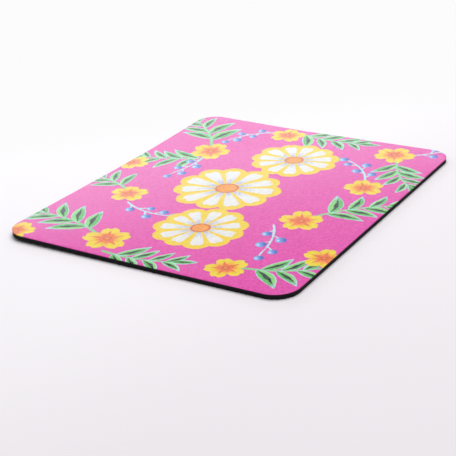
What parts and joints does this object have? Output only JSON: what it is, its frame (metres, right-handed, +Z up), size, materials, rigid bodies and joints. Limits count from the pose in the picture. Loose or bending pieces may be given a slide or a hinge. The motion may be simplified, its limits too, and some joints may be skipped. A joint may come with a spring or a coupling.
{
  "type": "mouse pad",
  "caption": "Thin rectangular mouse pad with rounded corners: printed cloth face bonded to a black foam rubber base with an anti-slip underside.",
  "frame": {"origin": "middle of the underside, where the pad rests on the table", "axes": "+X along the long side, to the user's right; +Y away from the user; +Z up out of the cloth face"},
  "size_m": [0.235, 0.197, 0.0032],
  "materials": {
    "foam_rubber": "matte black open-cell foam rubber, die-cut wall, embossed anti-slip underside",
    "hot_melt_film": "thin hot-melt adhesive film, seen only as a hairline at the cut edge",
    "printed_jersey": "fine polyester jersey, matte with a soft sheen, dye-printed with scattered flowers and leaves on bright pink"
  },
  "bodies": {
    "root": {"rubber_base": "foam_rubber", "adhesive_film": "hot_melt_film", "fabric_top": "printed_jersey"}
  },
  "joints": []
}
